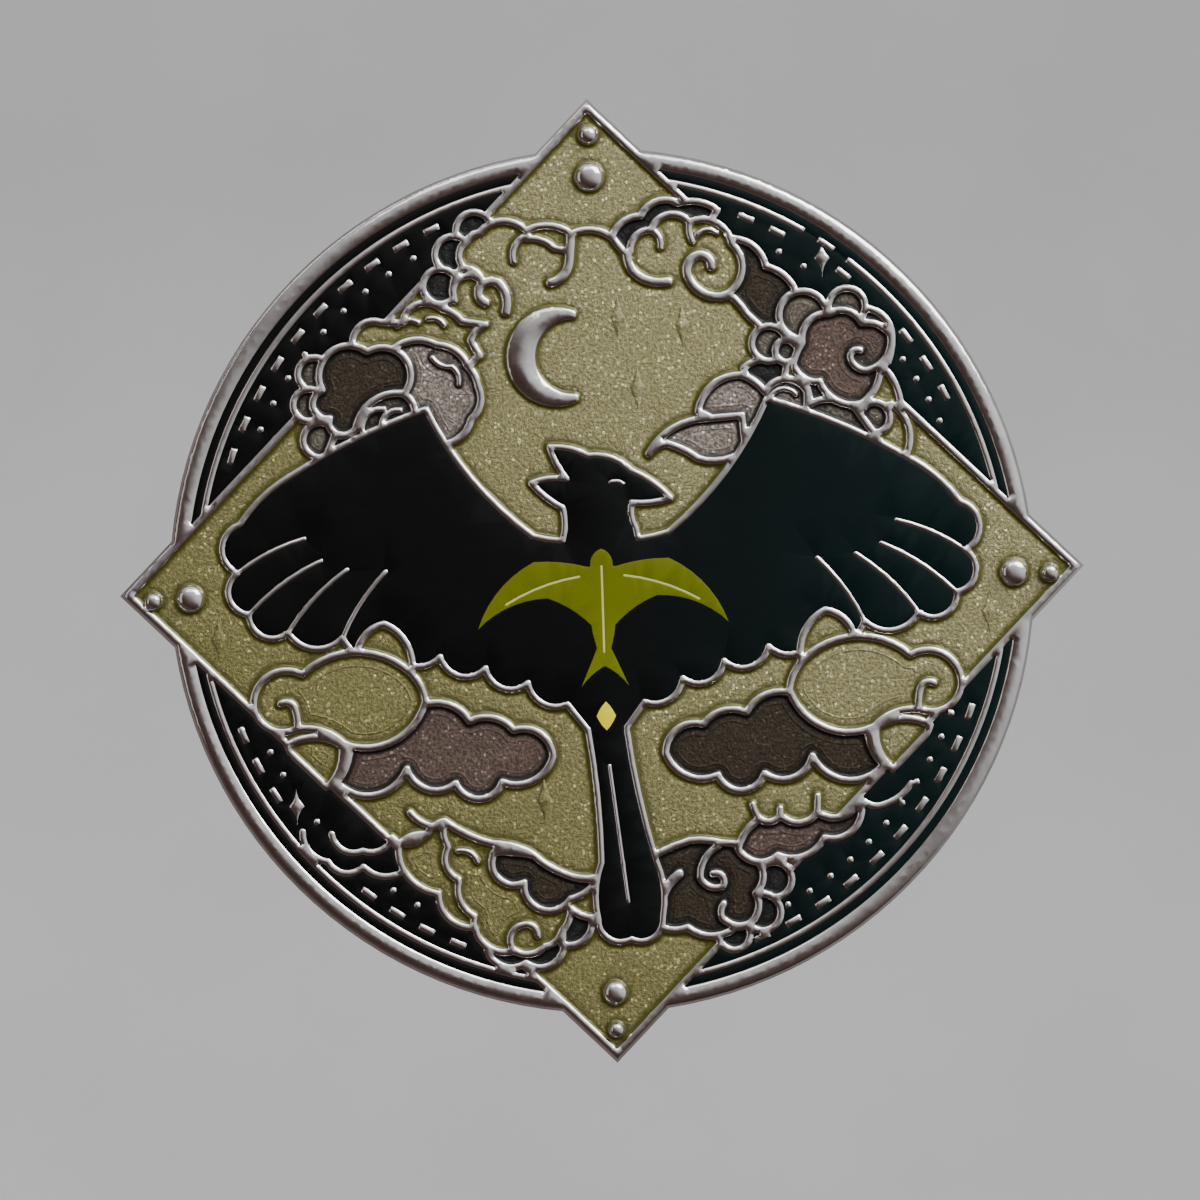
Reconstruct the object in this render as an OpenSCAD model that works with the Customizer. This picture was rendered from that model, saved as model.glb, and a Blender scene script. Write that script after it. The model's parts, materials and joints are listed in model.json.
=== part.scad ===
// Enamel pin: a round die-cast badge with a square plate set on its point across it, raised line work,
// enamel pools between the lines, a printed emblem, and two posts with butterfly clutches behind.
// The badge stands upright as worn: its face looks along -Y, its back face lies in the plane Y = 0,
// and the middle of the back face is the origin. The modules draw it lying on its back, face up.

/* [Badge] */
// Scale of the drawing: 1 is a badge of 60 mm from point to point
art = 1; // [0.9:0.05:1.1]
// Thickness of the casting under the enamel
plate_t = 1.5; // [1.2:0.1:2]
// Height of the raised line work above that
relief_h = 0.6; // [0.5:0.05:0.8]
// Depth of the translucent pools below the top of the lines
pool_drop = 0.22; // [0.1:0.02:0.3]

/* [Line work] */
// Width of the lines around the clouds
cloud_line = 0.46; // [0.38:0.02:0.5]
// Width of the lines around the bird
bird_line = 0.4; // [0.34:0.02:0.46]
// Width of the ribs in the wings
rib_line = 0.3; // [0.26:0.02:0.36]

/* [Posts] */
// Distance between the two posts
post_gap = 27; // [24:1:30]
// Height of the posts above the middle of the badge
post_up = 4; // [0:1:6]
// Diameter of a post's needle
needle_d = 1.1; // [1:0.05:1.2]
// Length of a post from the back face
post_l = 8; // [7.5:0.25:9]

/* [Clutches] */
// Diameter of a clutch's cup
cup_d = 11.4; // [11:0.2:12]
// Space that each clutch leaves for cloth at rest
cloth_gap = 2.2; // [2.1:0.1:3]
// Reach of the wings above the cup's front
wing_h = 6.3; // [6:0.1:7]

/* [Hidden] */

enamel_top = plate_t + relief_h - 0.02;
pool_top = plate_t + relief_h - pool_drop;
dark_top = pool_top - 0.04;
print_t = 0.03;
fit_gap = 0.006;             // pools stop this far from the metal
crevice = 0.05;              // gaps in the metal under twice this are closed
arc_tol = 0.012;             // how far an arc's chords may lie from it
edge_step = 0.2;             // the plate stands this far outside its own relief

disc_r = 26.9;
rim_in = 25.75;
ring_line = [24.9, 25.3];    // inner and outer radius of the thin ring
point_r = 30;                // from the middle to a corner of the square plate
border_line = 0.45;
relief_r = point_r - edge_step * sqrt(2);
dash_at = 24.25;             // radius at which the dashes lie, and their size
dash_size = [1.05, 0.42];
dot_at = 23.2;
dot_r = 0.22;
// The dashes and the dots of each stretch of the ring: first angle, last angle, how many
dash_spans = [[27, 37, 3], [50, 50, 1], [61.5, 66.5, 2], [114.1, 159.6, 10], [201.5, 211.5, 3],
              [231.5, 246.5, 4], [292.4, 338.6, 10]];
dot_spans = [[23.5, 34.5, 4], [55.5, 59.9, 2], [118.5, 154.3, 9], [205.5, 209.5, 2], [218.4, 218.4, 1],
             [234.2, 238.5, 2], [298, 337.4, 11]];
star_places = [[14.3, 19.6], [-19.4, -13.4]];
// Place and radius of each domed stud
studs = [[0, 25.1, 0.9], [0, 27.7, 0.6], [-25.6, -0.3, 0.85], [-27.9, -0.4, 0.55],
         [25.6, -0.3, 0.85], [27.8, -0.4, 0.55], [0, -25.6, 0.75], [0, -27.9, 0.5]];
stud_rise = 0.5;             // of a dome above the line work
moon_at = [-2.4, 14];
moon_r = 3.1;
moon_bite = [1.0, 2.3];      // how far right the bite's centre lies, and its radius
moon_end = 1.7;              // the tips are cut this far right of the moon's centre

// An outline or a line is a list of [x, y, bow]. The bow bends the run to the next point into an arc:
// it is the arc's rise over half its chord, to the left of the way travelled. No bow is a straight run.
function bow_of(p) = len(p) > 2 ? p[2] : 0;
function half_turn(bow) = 2 * atan(bow);
function bend_r(a, b, bow) = norm([b.x - a.x, b.y - a.y]) / 2 / sin(half_turn(bow));
function left_of(a, b) = [a.y - b.y, b.x - a.x] / norm([b.x - a.x, b.y - a.y]);
function centre(a, b, bow) =
    [a.x + b.x, a.y + b.y] / 2 - left_of(a, b) * bend_r(a, b, bow) * cos(half_turn(bow));
function steps(a, b, bow) =
    max(2, ceil(abs(half_turn(bow)) / acos(1 - min(0.5, arc_tol / abs(bend_r(a, b, bow))))));
function turned(v, t) = [v.x * cos(t) - v.y * sin(t), v.x * sin(t) + v.y * cos(t)];
// The points of one run, each moved by d to the left
function run(a, b, bow, d = 0) =
    bow == 0
    ? [for (p = [a, b]) [p.x, p.y] + left_of(a, b) * d]
    : let (c = centre(a, b, bow), n = steps(a, b, bow), spoke = [a.x, a.y] - c)
      [for (i = [0:n])
          c + turned(spoke, -2 * half_turn(bow) * i / n) * (1 + sign(bow) * d / norm(spoke))];
function closed(path) = concat(path, [path[0]]);
function trace(path) =
    [for (i = [0:len(path) - 2]) each run(path[i], path[i + 1], bow_of(path[i]))];
function puff(x, y, r) = [[x - r, y, 1], [x + r, y, 1]];
function flipped(path, shift = 0) = [for (p = path) [shift - p.x, p.y, -bow_of(p)]];

module fill(path) polygon(trace(closed(path)));
module line(path, w) {
    for (i = [0:len(path) - 2])
        let (a = path[i], b = path[i + 1], bow = bow_of(a), n = len(run(a, b, bow)),
             left = run(a, b, bow, w / 2), right = run(a, b, bow, -w / 2))
            polygon([for (j = [0:2 * n - 1]) j < n ? left[j] : right[2 * n - 1 - j]]);
    for (p = path)
        translate([p.x, p.y]) circle(d = w, $fn = 12);
}

// Clouds, from the back to the front. Each row is the finish of its enamel, its outline, which the
// metal follows, and the curls inside it as [width, path]. A row whose outline is open in places has
// "bare" as its fourth entry and lists all its own lines.
thick = 0.58;
back_clouds = [
    ["nw_smoke", puff(-17.45, 13.4, 1.05), []],
    ["nw_smoke", puff(-17.85, 11.5, 1.0), []],
    ["nw_smoke", puff(-17.2, 9.3, 1.1), []],
    ["nw_gold", [[-15, 15, 0.6], [-13.2, 16.5, 0], [-11.9, 16.4, 0.6], [-9.4, 17.2, 0.2], [-8.2, 16.4],
                 [-6.75, 16.15, -0.2], [-7.7, 15.2], [-7.15, 14.2, -0.3], [-7.9, 13], [-12, 13]],
        [[0.34, [[-12.2, 16.2, 0.4], [-10.9, 16.4]]], [0.34, [[-10.3, 16.6, 0.4], [-9.3, 16.2]]]]],
    ["nw_grey", [[-12.4, 14.9, 0.3], [-9.8, 15.0, 0.3], [-7.9, 13.6, 0.15], [-7.3, 12.3, 0.35],
                 [-7.8, 10.3, 0.3], [-9.4, 8.8], [-12, 9]],
        [[0.3, [[-10.1, 14.2, -0.3], [-8.9, 13.6, 0.3], [-8.5, 12.5]]]]],
    ["nw_brown", [[-14.1, 14.7, 0.83], [-11.85, 12.1], [-13, 9], [-16, 9.6, 0.5], [-16.6, 10.6, 0.9],
                  [-17, 12.4, 0.8]], []],
    ["nw_smoke", [[-17, 8], [-16.3, 9.6, -0.3], [-15, 9.9, 0.4], [-12.05, 12.05, 0.5], [-11.6, 10],
                  [-13, 7]],
        [[0.36, [[-14.6, 9.8, 0.5], [-13.2, 11.1]]], [0.36, [[-13.4, 9.9, 0.5], [-12.2, 11]]]]],
    ["n_black", puff(-7.25, 22, 1.15), []],
    ["n_black", puff(-8.6, 20.55, 1.15), []],
    ["n_black", puff(-9.45, 18.6, 1.1), []],
    ["sky", [[-8.6, 17.7, 0.3], [-8.2, 19.8, 0.3], [-7.8, 21.3, 0.2], [-6.9, 21.9, 0.45],
             [-4, 21.9, 0.3], [-1.2, 21.6, 0.3], [1.3, 21.3, 0.05], [2.2, 20.2], [0, 18], [-6, 17]],
        [[cloud_line, [[-8.6, 17.7, 0.3], [-8.1, 19.7], [-8.1, 19.9, 0.4], [-7.8, 21.3, 0.2],
                       [-6.9, 21.9, 0.45], [-4, 21.9, 0.3], [-1.2, 21.6, 0.3], [1.3, 21.3, 0.05],
                       [2.2, 20.2]]],
         [cloud_line, [[-8.1, 19.7, 0.35], [-6.85, 18.9]]],
         [0.4, [[-8.6, 17.9, 0.4], [-8.1, 19.1, 0.4], [-6.95, 18.8]]],
         [thick, [[-6.7, 17.5, 0.5], [-7, 18.5, 0.35], [-5.9, 18.75, 0.3], [-5.45, 16.9]]],
         [thick, [[-1.25, 21.5], [-1.4, 20, 0.35], [-2.6, 18.6]]],
         [0.4, [[-3.9, 21.6, -0.45], [-4.85, 20]]],
         [0.4, [[-4, 21.4, 0.25], [-2.3, 20.75], [-1.5, 20.6]]]], "bare"],
    ["ne_black", [[1.3, 21.4, 0.3], [3.15, 22.6, 0.45], [5.5, 23.3, 0.25], [7.9, 22.8], [6, 20],
                  [2.2, 20.2, 0.1]], []],
    ["ne_brown", [[8.8, 21, 0.35], [10.8, 19.2, 0.25], [12.6, 17.6], [11.4, 15.3], [10.4, 15.4],
                  [9.5, 16.3, -0.1], [8.4, 17.6]], []],
    ["sky", [[2.4, 20.4, 0.45], [3.75, 21.7, 0.6], [6.15, 22.1, 0.5], [8.7, 20.7, 0.5], [8.4, 17.5, 0.3],
             [5.9, 18.9], [4.8, 18.4, 0.3]],
        [[cloud_line, [[2.4, 20.4, 0.45], [3.75, 21.7, 0.6], [6.15, 22.1, 0.5], [8.7, 20.7, 0.5],
                       [8.4, 17.6]]],
         [thick, [[2.2, 20.3, -0.3], [3.1, 18.7, -0.15], [4.7, 18.45]]],
         [thick, [[7.4, 19.3, -0.5], [6.6, 20.05, -0.45], [5.95, 18.7, -0.4], [8.4, 17.5]]],
         [0.4, [[3.75, 21.7, 0.35], [4.3, 20.6]]],
         [0.4, [[6.15, 22.1, -0.2], [6.3, 20.9]]],
         [0.34, [[6.6, 21.3, 0.4], [7.8, 21.4]]]], "bare"],
    ["ne_black", [[9.2, 12.9, 0.35], [11.9, 13.1], [11.5, 11], [9.5, 12]], []],
    ["ne_smoke", puff(10.85, 14.4, 1.1), []],
    ["ne_smoke", puff(11.9, 13.9, 0.7), []],
    ["ne_smoke", puff(13, 16.1, 1.5), []],
    ["ne_smoke", puff(15.75, 16.55, 1.15), []],
    ["ne_smoke", [[16.9, 16.4, 0.4], [18.5, 14.6, 0.1], [18.2, 13], [16, 14]], []],
    ["ne_gold", [[17.6, 13, 0.2], [18.9, 10.4], [16.5, 9.5], [16, 11]], []],
    ["ne_gold", [[18.3, 10.4, 0.4], [19.1, 7.2], [17, 7.5], [16.6, 10]], []],
    ["ne_smoke", puff(17.25, 9.6, 0.95), []],
    ["ne_smoke", [[12.4, 13, 0.15], [13.3, 10.5], [16.6, 10.2], [16.5, 11.6], [14, 12.5]], []],
    ["ne_grey", [[6.3, 10.3, 0.4], [9.1, 12.5, 0.15], [10.5, 11.4, 0.6], [13.1, 11.4, 0.1], [12.8, 9.4],
                 [9, 9]],
        [[0.3, [[10.9, 11.2, 0.5], [12.4, 11.2]]]]],
    ["ne_smoke", [[13, 10.4, 0.35], [16.1, 10.2], [17.6, 8], [13, 8.5]], []],
    ["ne_mauve", [[12.3, 13.1, 0.1], [12.9, 14.4, 0.5], [14.65, 16.15, 0.45], [16.65, 15.5, 0.3],
                  [18.4, 14.7, 0.25], [17.7, 12.7, 0.25], [16.5, 10.5, 0.4], [13.9, 11.95, 0.4]],
        [[0.42, [[18.4, 14.3, 0.35], [16.9, 12.55, 0.4], [15.85, 13.4, 0.6], [16.5, 13.8]]]]],
    ["ne_grey", [[3.15, 7.8, 0.25], [6.4, 9.85], [9, 10], [9.2, 7.6], [8.8, 7.6, 0.2], [6.2, 7.4, -0.1],
                 [4.3, 8.4, -0.2]], []],
    ["sw_black", [[-7.9, -22.7, -0.5], [-5.5, -23.6, -0.55], [-3.1, -22.7], [-4, -21], [-7, -21.5]], []],
    ["sw_black", [[-3.2, -22.5, -0.4], [-1.4, -21.7, -0.3], [-1.7, -20.3], [-3, -19.8]], []],
    ["sw_gold", [[-10.3, -14.6, -0.1], [-7.3, -16.1, 0.15], [-4.8, -16.9, -0.1], [-3, -18.1, -0.15],
                 [-0.9, -18.4, 0.2], [-0.6, -20.8, 0.3], [-2.6, -20.3, 0.2], [-3.2, -21.7, 0.3],
                 [-4.3, -22.6, 0.35], [-6.2, -22.8, 0.45], [-8.6, -21.3, 0.45], [-10.8, -19.1, 0.4],
                 [-13.2, -16.1, 0.3], [-11.4, -15.4, 0.2]],
        [[0.42, [[-10.3, -14.8, -0.2], [-10.1, -16.2, -0.45], [-9.5, -18.3, -0.35],
                 [-8.6, -20.6, -0.3], [-8.5, -21.4]]],
         [0.42, [[-12.4, -14, -0.3], [-10.2, -14.9]]],
         [0.42, [[-13.6, -15.5, -0.5], [-11.5, -15.4]]],
         [0.42, [[-6.2, -22.8, 0.6], [-5.6, -21.2, 0.5], [-4.7, -21.9]]],
         [0.34, [[-9.5, -16.5, 0.4], [-8.3, -17.2]]]]],
    ["sw_brown", [[-7.2, -16.6, 0.05], [-4.8, -16.9, -0.1], [-3, -18.1, -0.15], [-0.8, -18.5, 0.2],
                  [-2.6, -19.7, 0.8], [-5.45, -18.6, 0.75]], []],
    ["se_black", puff(10.1, -18.9, 1.1), []],
    ["se_black", puff(9.3, -20.9, 1.15), []],
    ["se_black", puff(7.5, -22.2, 1), []],
    ["se_brown", [[2.4, -17.3, 0.05], [4.9, -16.3, 0.1], [6.9, -16.5], [8.2, -16.6], [9, -17.6, 0.45],
                  [8.9, -19.7, 0.6], [7.6, -21.8, 0.35], [4.6, -21.7, 0.3], [2.4, -21.2]],
        [[thick, [[2.95, -20.8, 0.25], [4.2, -18.35]]],
         [0.44, [[6.7, -16.7, -0.3], [5.5, -18.6, -0.45], [6.9, -19.2, -0.7], [6.3, -18.4]]],
         [0.44, [[8.6, -21.5, 0.35], [6.8, -21.2, 0.3], [6.9, -20.3]]]]],
    ["se_mauve", [[7.9, -16.9, 0.2], [9.3, -15.1, -0.45], [10.6, -14.9, -0.5], [12.9, -14.8, -0.5],
                  [15.6, -14.1, 0.6], [13.3, -16.4, 0.4], [10.35, -17.4, 0.5]],
        [[0.42, [[8.9, -14.2, -0.1], [9.3, -15.1]]],
         [0.42, [[10.6, -14.5], [10.6, -14.9]]],
         [0.42, [[12.95, -13.8], [12.9, -14.8]]]]]
];

left_bank = [
    ["gold", [[-19.9, -9.6, 0.3], [-16.5, -9.7, 0.25], [-17.5, -12.3], [-19.7, -10.1]], []],
    ["dark", [[-11.9, -7.6, 0.43], [-8.5, -8.45, 0.36], [-5.8, -9.1, 0.5], [-3.4, -10.8, 0.45],
              [-6.6, -12.3, 0.7], [-9.5, -12.3, 0.54], [-12.5, -11.3, 0.55], [-16.9, -12, -0.2],
              [-16, -9.7], [-15, -8]], []],
    ["gold", [[-15.4, -4.2, 0.35], [-13.6, -2.25, 0.35], [-12, -5.4], [-14, -6]], []],
    ["gold", [[-21.9, -7.2, 0.6], [-18.8, -5.2, 0.4], [-12, -5.4, 0.15], [-11.2, -7.1, 0.45],
              [-16.4, -9.6, -0.25], [-19.3, -8.6, 0.5]],
        [[cloud_line, [[-19.2, -8.5, -0.1], [-19.35, -7.3, -0.5], [-20.2, -7]]]]]
];
bank_shift = 0.2;            // the right bank is the left one's mirror image, this far further right
layers = concat(
    back_clouds,
    [["bird"]],
    [for (row = left_bank)
        [row[0] == "gold" ? "left_gold" : "left_mauve", row[1], row[2]]],
    [for (row = left_bank)
        [row[0] == "gold" ? "right_gold" : "right_brown", flipped(row[1], bank_shift),
         [for (curl = row[2]) [curl[0], flipped(curl[1], bank_shift)]]]]
);
ring_waves = [
    [[-19.1, -15, -0.4], [-17.6, -16.9, -0.5], [-15.4, -17.3, -0.35], [-13, -17.7]],
    [[-17.3, -15.2, -0.5], [-15.4, -16.3, -0.3], [-13.8, -16]],
    [[15.6, -14, -0.3], [16.9, -14.5, -0.2], [18.8, -13.2]]
];

// The bird: one wing, which is mirrored, a head in profile and a long tail with two lobes
bird_wing = [
    [0, 2.6, 0.1], [-4.2, 2.9, 0.12], [-10.6, 11, -0.06], [-19, 7.2, -0.12], [-22.4, 4.2, -0.7],
    [-22.6, 1.2, -0.7], [-22, -1.4, -0.65], [-19.6, -2.6, -0.5], [-16.2, -3, -0.6], [-13.2, -3.6, -0.6],
    [-10.2, -4.4, -0.6], [-7.4, -5.2, -0.6], [-4.8, -6.2, -0.5], [-2.4, -7.6], [-1.2, -9.2], [0, -9.4]
];
bird_head = [
    [-2.8, 1.6, -0.2], [-2.3, 4.6, 0.1], [-4.2, 6.2, 0.15], [-2, 6.4, 0.1], [-3, 8.4, 0.15],
    [-0.6, 7.8, 0.25], [2, 6.8, 0.12], [4.4, 5, 0.1], [2, 4.8, -0.2], [2.2, 3.2, -0.2], [3, 1.5]
];
bird_tail = [
    [-1.2, -9, 0.04], [-0.6, -17.5, -0.15], [-0.9, -21, -0.6], [1.1, -22.3, -0.6], [3.1, -21, -0.15],
    [2.8, -17.5, 0.04], [1.2, -9]
];
bird_ribs = [                   // the edges of the longest feathers
    [[-22.6, 1.2, 0.1], [-18.4, 3.2]],
    [[-22, -1.4, 0.1], [-17.4, 1.8]],
    [[-19.6, -2.6, 0.1], [-15.8, 1.2]],
    [[-16.2, -3, 0.1], [-13.4, 1]]
];
mark_line = 0.25;
bird_marks = [                  // its eye, and the shaft of the tail
    [[0.7, 6.1, 0.3], [1.5, 6]],
    [[0.1, -11.5], [1, -20]]
];

// The emblem: a swallow from above, one wing, which is mirrored, and a body with a forked tail
emblem_wing = [
    [0, 0.9], [-0.9, 0.9, -0.08], [-4.2, 1.3, -0.2], [-7.8, -2.8, 0.2], [-3.4, -1, 0.12], [-0.7, -2.8],
    [0, -3]
];
emblem_body = [
    [-0.8, -2.4, 0.1], [-0.7, 1, 0.35], [0, 2, 0.35], [0.7, 1, 0.1], [0.8, -2.4, 0.05], [0.45, -4.2],
    [1.5, -6.6, -0.12], [0, -5.3, -0.12], [-1.5, -6.6], [-0.45, -4.2, 0.05]
];
emblem_tip = [[0, -7.5, 0.1], [0.6, -8.4, 0.1], [0, -9.3, 0.1], [-0.6, -8.4, 0.1]];
emblem_lines = [
    [[0, 0.9], [0, -4.4]],
    [[-1.4, 0.3, -0.1], [-6, -1.3]]
];
emblem_line = 0.13;

// Where the square plate's own enamel is divided: each window's edges run under the bird or clouds
windows = [
    ["corner_top", [[-8.1, 19.9, 0.4], [-7.8, 21.3, 0.2], [-6.9, 21.9, 0.45], [-4, 21.9, 0.3],
                    [-1.2, 21.6, 0.3], [1.3, 21.3, 0.05], [2.2, 20.2], [3, 22], [9, 20], [12, 22], [0, 32],
                    [-14, 22]]],
    ["corner_left", [[-32, 0], [-16, 18], [-14, -2], [-14, -5], [-16, -7], [-24, -9.5]]],
    ["corner_right", [[32, 0], [24, -9.5], [16, -7], [14.2, -5], [14.2, -2], [16, 10], [17.5, 10],
                      [19, 13]]],
    ["corner_bottom", [[-9, -24], [-4, -20], [-1.5, -20.5], [1.3, -21.5], [3, -20], [7, -21], [9, -24],
                       [0, -32]]],
    ["field_left", [[-14, -2], [0.5, -2], [0.5, -8], [0.2, -14], [1.4, -18], [1.3, -21], [-3, -19],
                    [-9, -24], [-24, -9.5], [-16, -7], [-14, -5]]],
    ["field_right", [[14.2, -2], [14.2, -5], [16, -7], [24, -9.5], [9, -24], [6, -20], [1.3, -21], [1.4, -18],
                     [0.2, -14], [0.5, -8], [0.5, -2]]]
];

module diamond(r) polygon([[0, r], [r, 0], [0, -r], [-r, 0]]);
module both_sides() {
    children();
    mirror([1, 0]) children();
}
module bird_fill() {
    both_sides() fill(bird_wing);
    fill(bird_head);
    fill(bird_tail);
}
module ground(i) {
    if (layers[i][0] == "bird")
        bird_fill();
    else
        fill(layers[i][1]);
}
// What hides layer i: every layer in front of it
module over(i) for (j = [i + 1:1:len(layers) - 1]) ground(j);

module bird_edge() {
    difference() {
        offset(r = bird_line / 2, $fn = 24) bird_fill();
        offset(r = -bird_line / 2, $fn = 24) bird_fill();
    }
    both_sides() for (l = bird_ribs) line(l, rib_line);
    for (l = bird_marks) line(l, mark_line);
}
module lines_of(row) {
    if (row[0] == "bird") {
        bird_edge();
    } else {
        if (len(row) < 4)
            line(closed(row[1]), cloud_line);
        for (curl = row[2])
            line(curl[1], curl[0]);
    }
}
function spread(span) = [for (i = [0:span[2] - 1]) span[0] + i * (span[1] - span[0]) / max(1, span[2] - 1)];
module ring_marks() {
    difference() {
        circle(r = ring_line[1], $fn = 180);
        circle(r = ring_line[0], $fn = 180);
        for (a = [52, 57]) rotate(a) translate([ring_line[0], 0]) square(1, center = true);
    }
    for (span = dash_spans, a = spread(span))
        rotate(a) translate([dash_at, 0]) square([dash_size.y, dash_size.x], center = true);
    for (span = dot_spans, a = spread(span))
        rotate(a) translate([dot_at, 0]) circle(r = dot_r, $fn = 12);
    for (p = star_places)
        translate(p) star();
    for (path = ring_waves)
        line(path, cloud_line);
}
module star() fill([[0, 1.2, -0.2], [0.5, 0, -0.2], [0, -1.2, -0.2], [-0.5, 0, -0.2]]);
module moon()
    offset(r = 0.3, $fn = 32) offset(delta = -0.3)
        difference() {
            translate(moon_at) circle(r = moon_r, $fn = 64);
            translate(moon_at + [moon_bite[0], 0]) circle(r = moon_bite[1], $fn = 64);
            translate(moon_at + [moon_end, -moon_r]) square(2 * moon_r);
        }

// All the raised metal, seen from the front, with its narrowest gaps closed
module metal()
    offset(delta = -crevice) offset(delta = crevice) {
        difference() {
            union() {
                difference() {
                    union() {
                        difference() {
                            circle(r = disc_r - edge_step, $fn = 180);
                            circle(r = rim_in, $fn = 180);
                        }
                        ring_marks();
                    }
                    diamond(relief_r);
                }
                difference() {
                    diamond(relief_r);
                    diamond(relief_r - border_line * sqrt(2));
                }
                moon();
                for (s = studs)
                    translate([s.x, s.y]) circle(r = s.z, $fn = 24);
            }
            over(-1);
        }
        for (i = [0:len(layers) - 1])
            difference() {
                lines_of(layers[i]);
                over(i);
            }
    }

// The pools of one finish: the ground that its layers show, less the metal
module outline(gap)
    offset(delta = -gap)
        difference() {
            children();
            metal();
        }
module pool(top)
    translate([0, 0, plate_t]) linear_extrude(top - plate_t) outline(fit_gap) children();
// What is cast away for some pools: their outlines without the gap, opened to the front
module pocket(names)
    translate([0, 0, plate_t]) linear_extrude(relief_h + 1)
        offset(delta = fit_gap) outline(fit_gap) for (name = names) pool_ground(name);
module shown(finish)
    for (i = [0:len(layers) - 1])
        if (layers[i][0] == finish)
            difference() {
                ground(i);
                over(i);
            }
module window(name) for (w = windows) if (w[0] == name) fill(w[1]);
module plate_ground()
    difference() {
        diamond(relief_r);
        over(-1);
    }
module ring_ground(turn)
    difference() {
        intersection() {
            circle(r = (ring_line[0] + ring_line[1]) / 2, $fn = 180);
            rotate(turn) square(disc_r);
        }
        diamond(relief_r);
        over(-1);
    }

module stand() rotate([90, 0, 0]) scale(art) children();

// The casting is cut from the solid: the plate and the relief over it, less a pocket for every pool
module pin_casting()
    color("#b9b9bb") stand()
        difference() {
            union() {
                cylinder(r = disc_r, h = plate_t, $fn = 180);
                linear_extrude(plate_t) diamond(point_r);
                cylinder(r = disc_r - edge_step, h = plate_t + relief_h, $fn = 180);
                linear_extrude(plate_t + relief_h) diamond(relief_r);
                for (s = studs)
                    translate([s.x, s.y, plate_t + relief_h]) dome(s.z);
            }
            for (side = [-1, 1])
                translate([side * post_gap / 2, post_up, -1]) cylinder(r = foot_r, h = 1 + foot_t, $fn = 48);
            for (first = [0:pocket_pools:len(POOLS) - 1])
                pocket([for (i = [first:min(first + pocket_pools, len(POOLS)) - 1]) POOLS[i]]);
        }
module dome(r) {
    ball_r = (r * r + stud_rise * stud_rise) / (2 * stud_rise);
    intersection() {
        translate([0, 0, stud_rise - ball_r]) sphere(r = ball_r, $fn = 48);
        translate([0, 0, -0.1]) cylinder(r = r - 0.02, h = 0.2 + stud_rise, $fn = 48);
    }
}

// Enamel. Each pool's ground goes by its node's name without "enamel"
gold = "#96916a";
black = "#101011";
brown = "#40382c";
mauve = "#6a5c55";
ring_turns = [["ring_ne", 0], ["ring_nw", 90], ["ring_sw", 180], ["ring_se", 270]];
PLATE_POOLS = ["corner_top", "corner_left", "corner_right", "corner_bottom", "field_left", "field_right"];
CLOUD_POOLS = ["bird", "nw_gold", "nw_grey", "nw_brown", "nw_smoke", "n_black", "ne_black", "ne_brown",
               "ne_smoke", "ne_mauve", "ne_grey", "ne_gold", "left_gold", "left_mauve", "right_gold",
               "right_brown", "sw_gold", "sw_brown", "sw_black", "se_mauve", "se_brown", "se_black"];
pocket_pools = 5;            // pools cast away together
POOLS = concat(["rim_ring", "ring_ne", "ring_nw", "ring_sw", "ring_se", "sky"], PLATE_POOLS, CLOUD_POOLS);
module pool_ground(name) {
    if (name == "rim_ring") {
        difference() {
            circle(r = (rim_in + disc_r) / 2, $fn = 180);
            circle(r = (ring_line[0] + ring_line[1]) / 2, $fn = 180);
            diamond(relief_r);
            over(-1);
        }
    } else if (name == "sky") {
        difference() {
            plate_ground();
            for (w = windows) fill(w[1]);
        }
        shown("sky");
    } else if (len([for (n = PLATE_POOLS) if (n == name) n]) > 0) {
        intersection() {
            plate_ground();
            window(name);
        }
    } else {
        for (t = ring_turns)
            if (t[0] == name) ring_ground(t[1]);
        shown(name);
    }
}
module enamel(name, c, top = pool_top) color(c) stand() pool(top) pool_ground(name);
module rim_ring_enamel() enamel("rim_ring", black, enamel_top);
module ring_enamel_nw() enamel("ring_nw", black, enamel_top);
module ring_enamel_ne() enamel("ring_ne", black, enamel_top);
module ring_enamel_sw() enamel("ring_sw", black, enamel_top);
module ring_enamel_se() enamel("ring_se", black, enamel_top);
module corner_enamel_top() enamel("corner_top", gold);
module corner_enamel_left() enamel("corner_left", gold);
module corner_enamel_right() enamel("corner_right", gold);
module corner_enamel_bottom() enamel("corner_bottom", gold);
module sky_enamel() enamel("sky", gold);
module field_enamel_left() enamel("field_left", gold);
module field_enamel_right() enamel("field_right", gold);
module bird_enamel() enamel("bird", black, enamel_top);
module nw_gold_enamel() enamel("nw_gold", gold);
module nw_grey_enamel() enamel("nw_grey", mauve, dark_top);
module nw_brown_enamel() enamel("nw_brown", brown, dark_top);
module nw_smoke_enamel() enamel("nw_smoke", brown, dark_top);
module n_black_enamel() enamel("n_black", black, dark_top);
module ne_black_enamel() enamel("ne_black", black, dark_top);
module ne_brown_enamel() enamel("ne_brown", brown, dark_top);
module ne_smoke_enamel() enamel("ne_smoke", brown, dark_top);
module ne_mauve_enamel() enamel("ne_mauve", mauve, dark_top);
module ne_grey_enamel() enamel("ne_grey", mauve, dark_top);
module ne_gold_enamel() enamel("ne_gold", gold);
module left_gold_enamel() enamel("left_gold", gold);
module left_mauve_enamel() enamel("left_mauve", mauve, dark_top);
module right_gold_enamel() enamel("right_gold", gold);
module right_brown_enamel() enamel("right_brown", brown, dark_top);
module sw_gold_enamel() enamel("sw_gold", gold);
module sw_brown_enamel() enamel("sw_brown", brown, dark_top);
module sw_black_enamel() enamel("sw_black", black, dark_top);
module se_mauve_enamel() enamel("se_mauve", mauve, dark_top);
module se_brown_enamel() enamel("se_brown", brown, dark_top);
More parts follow.
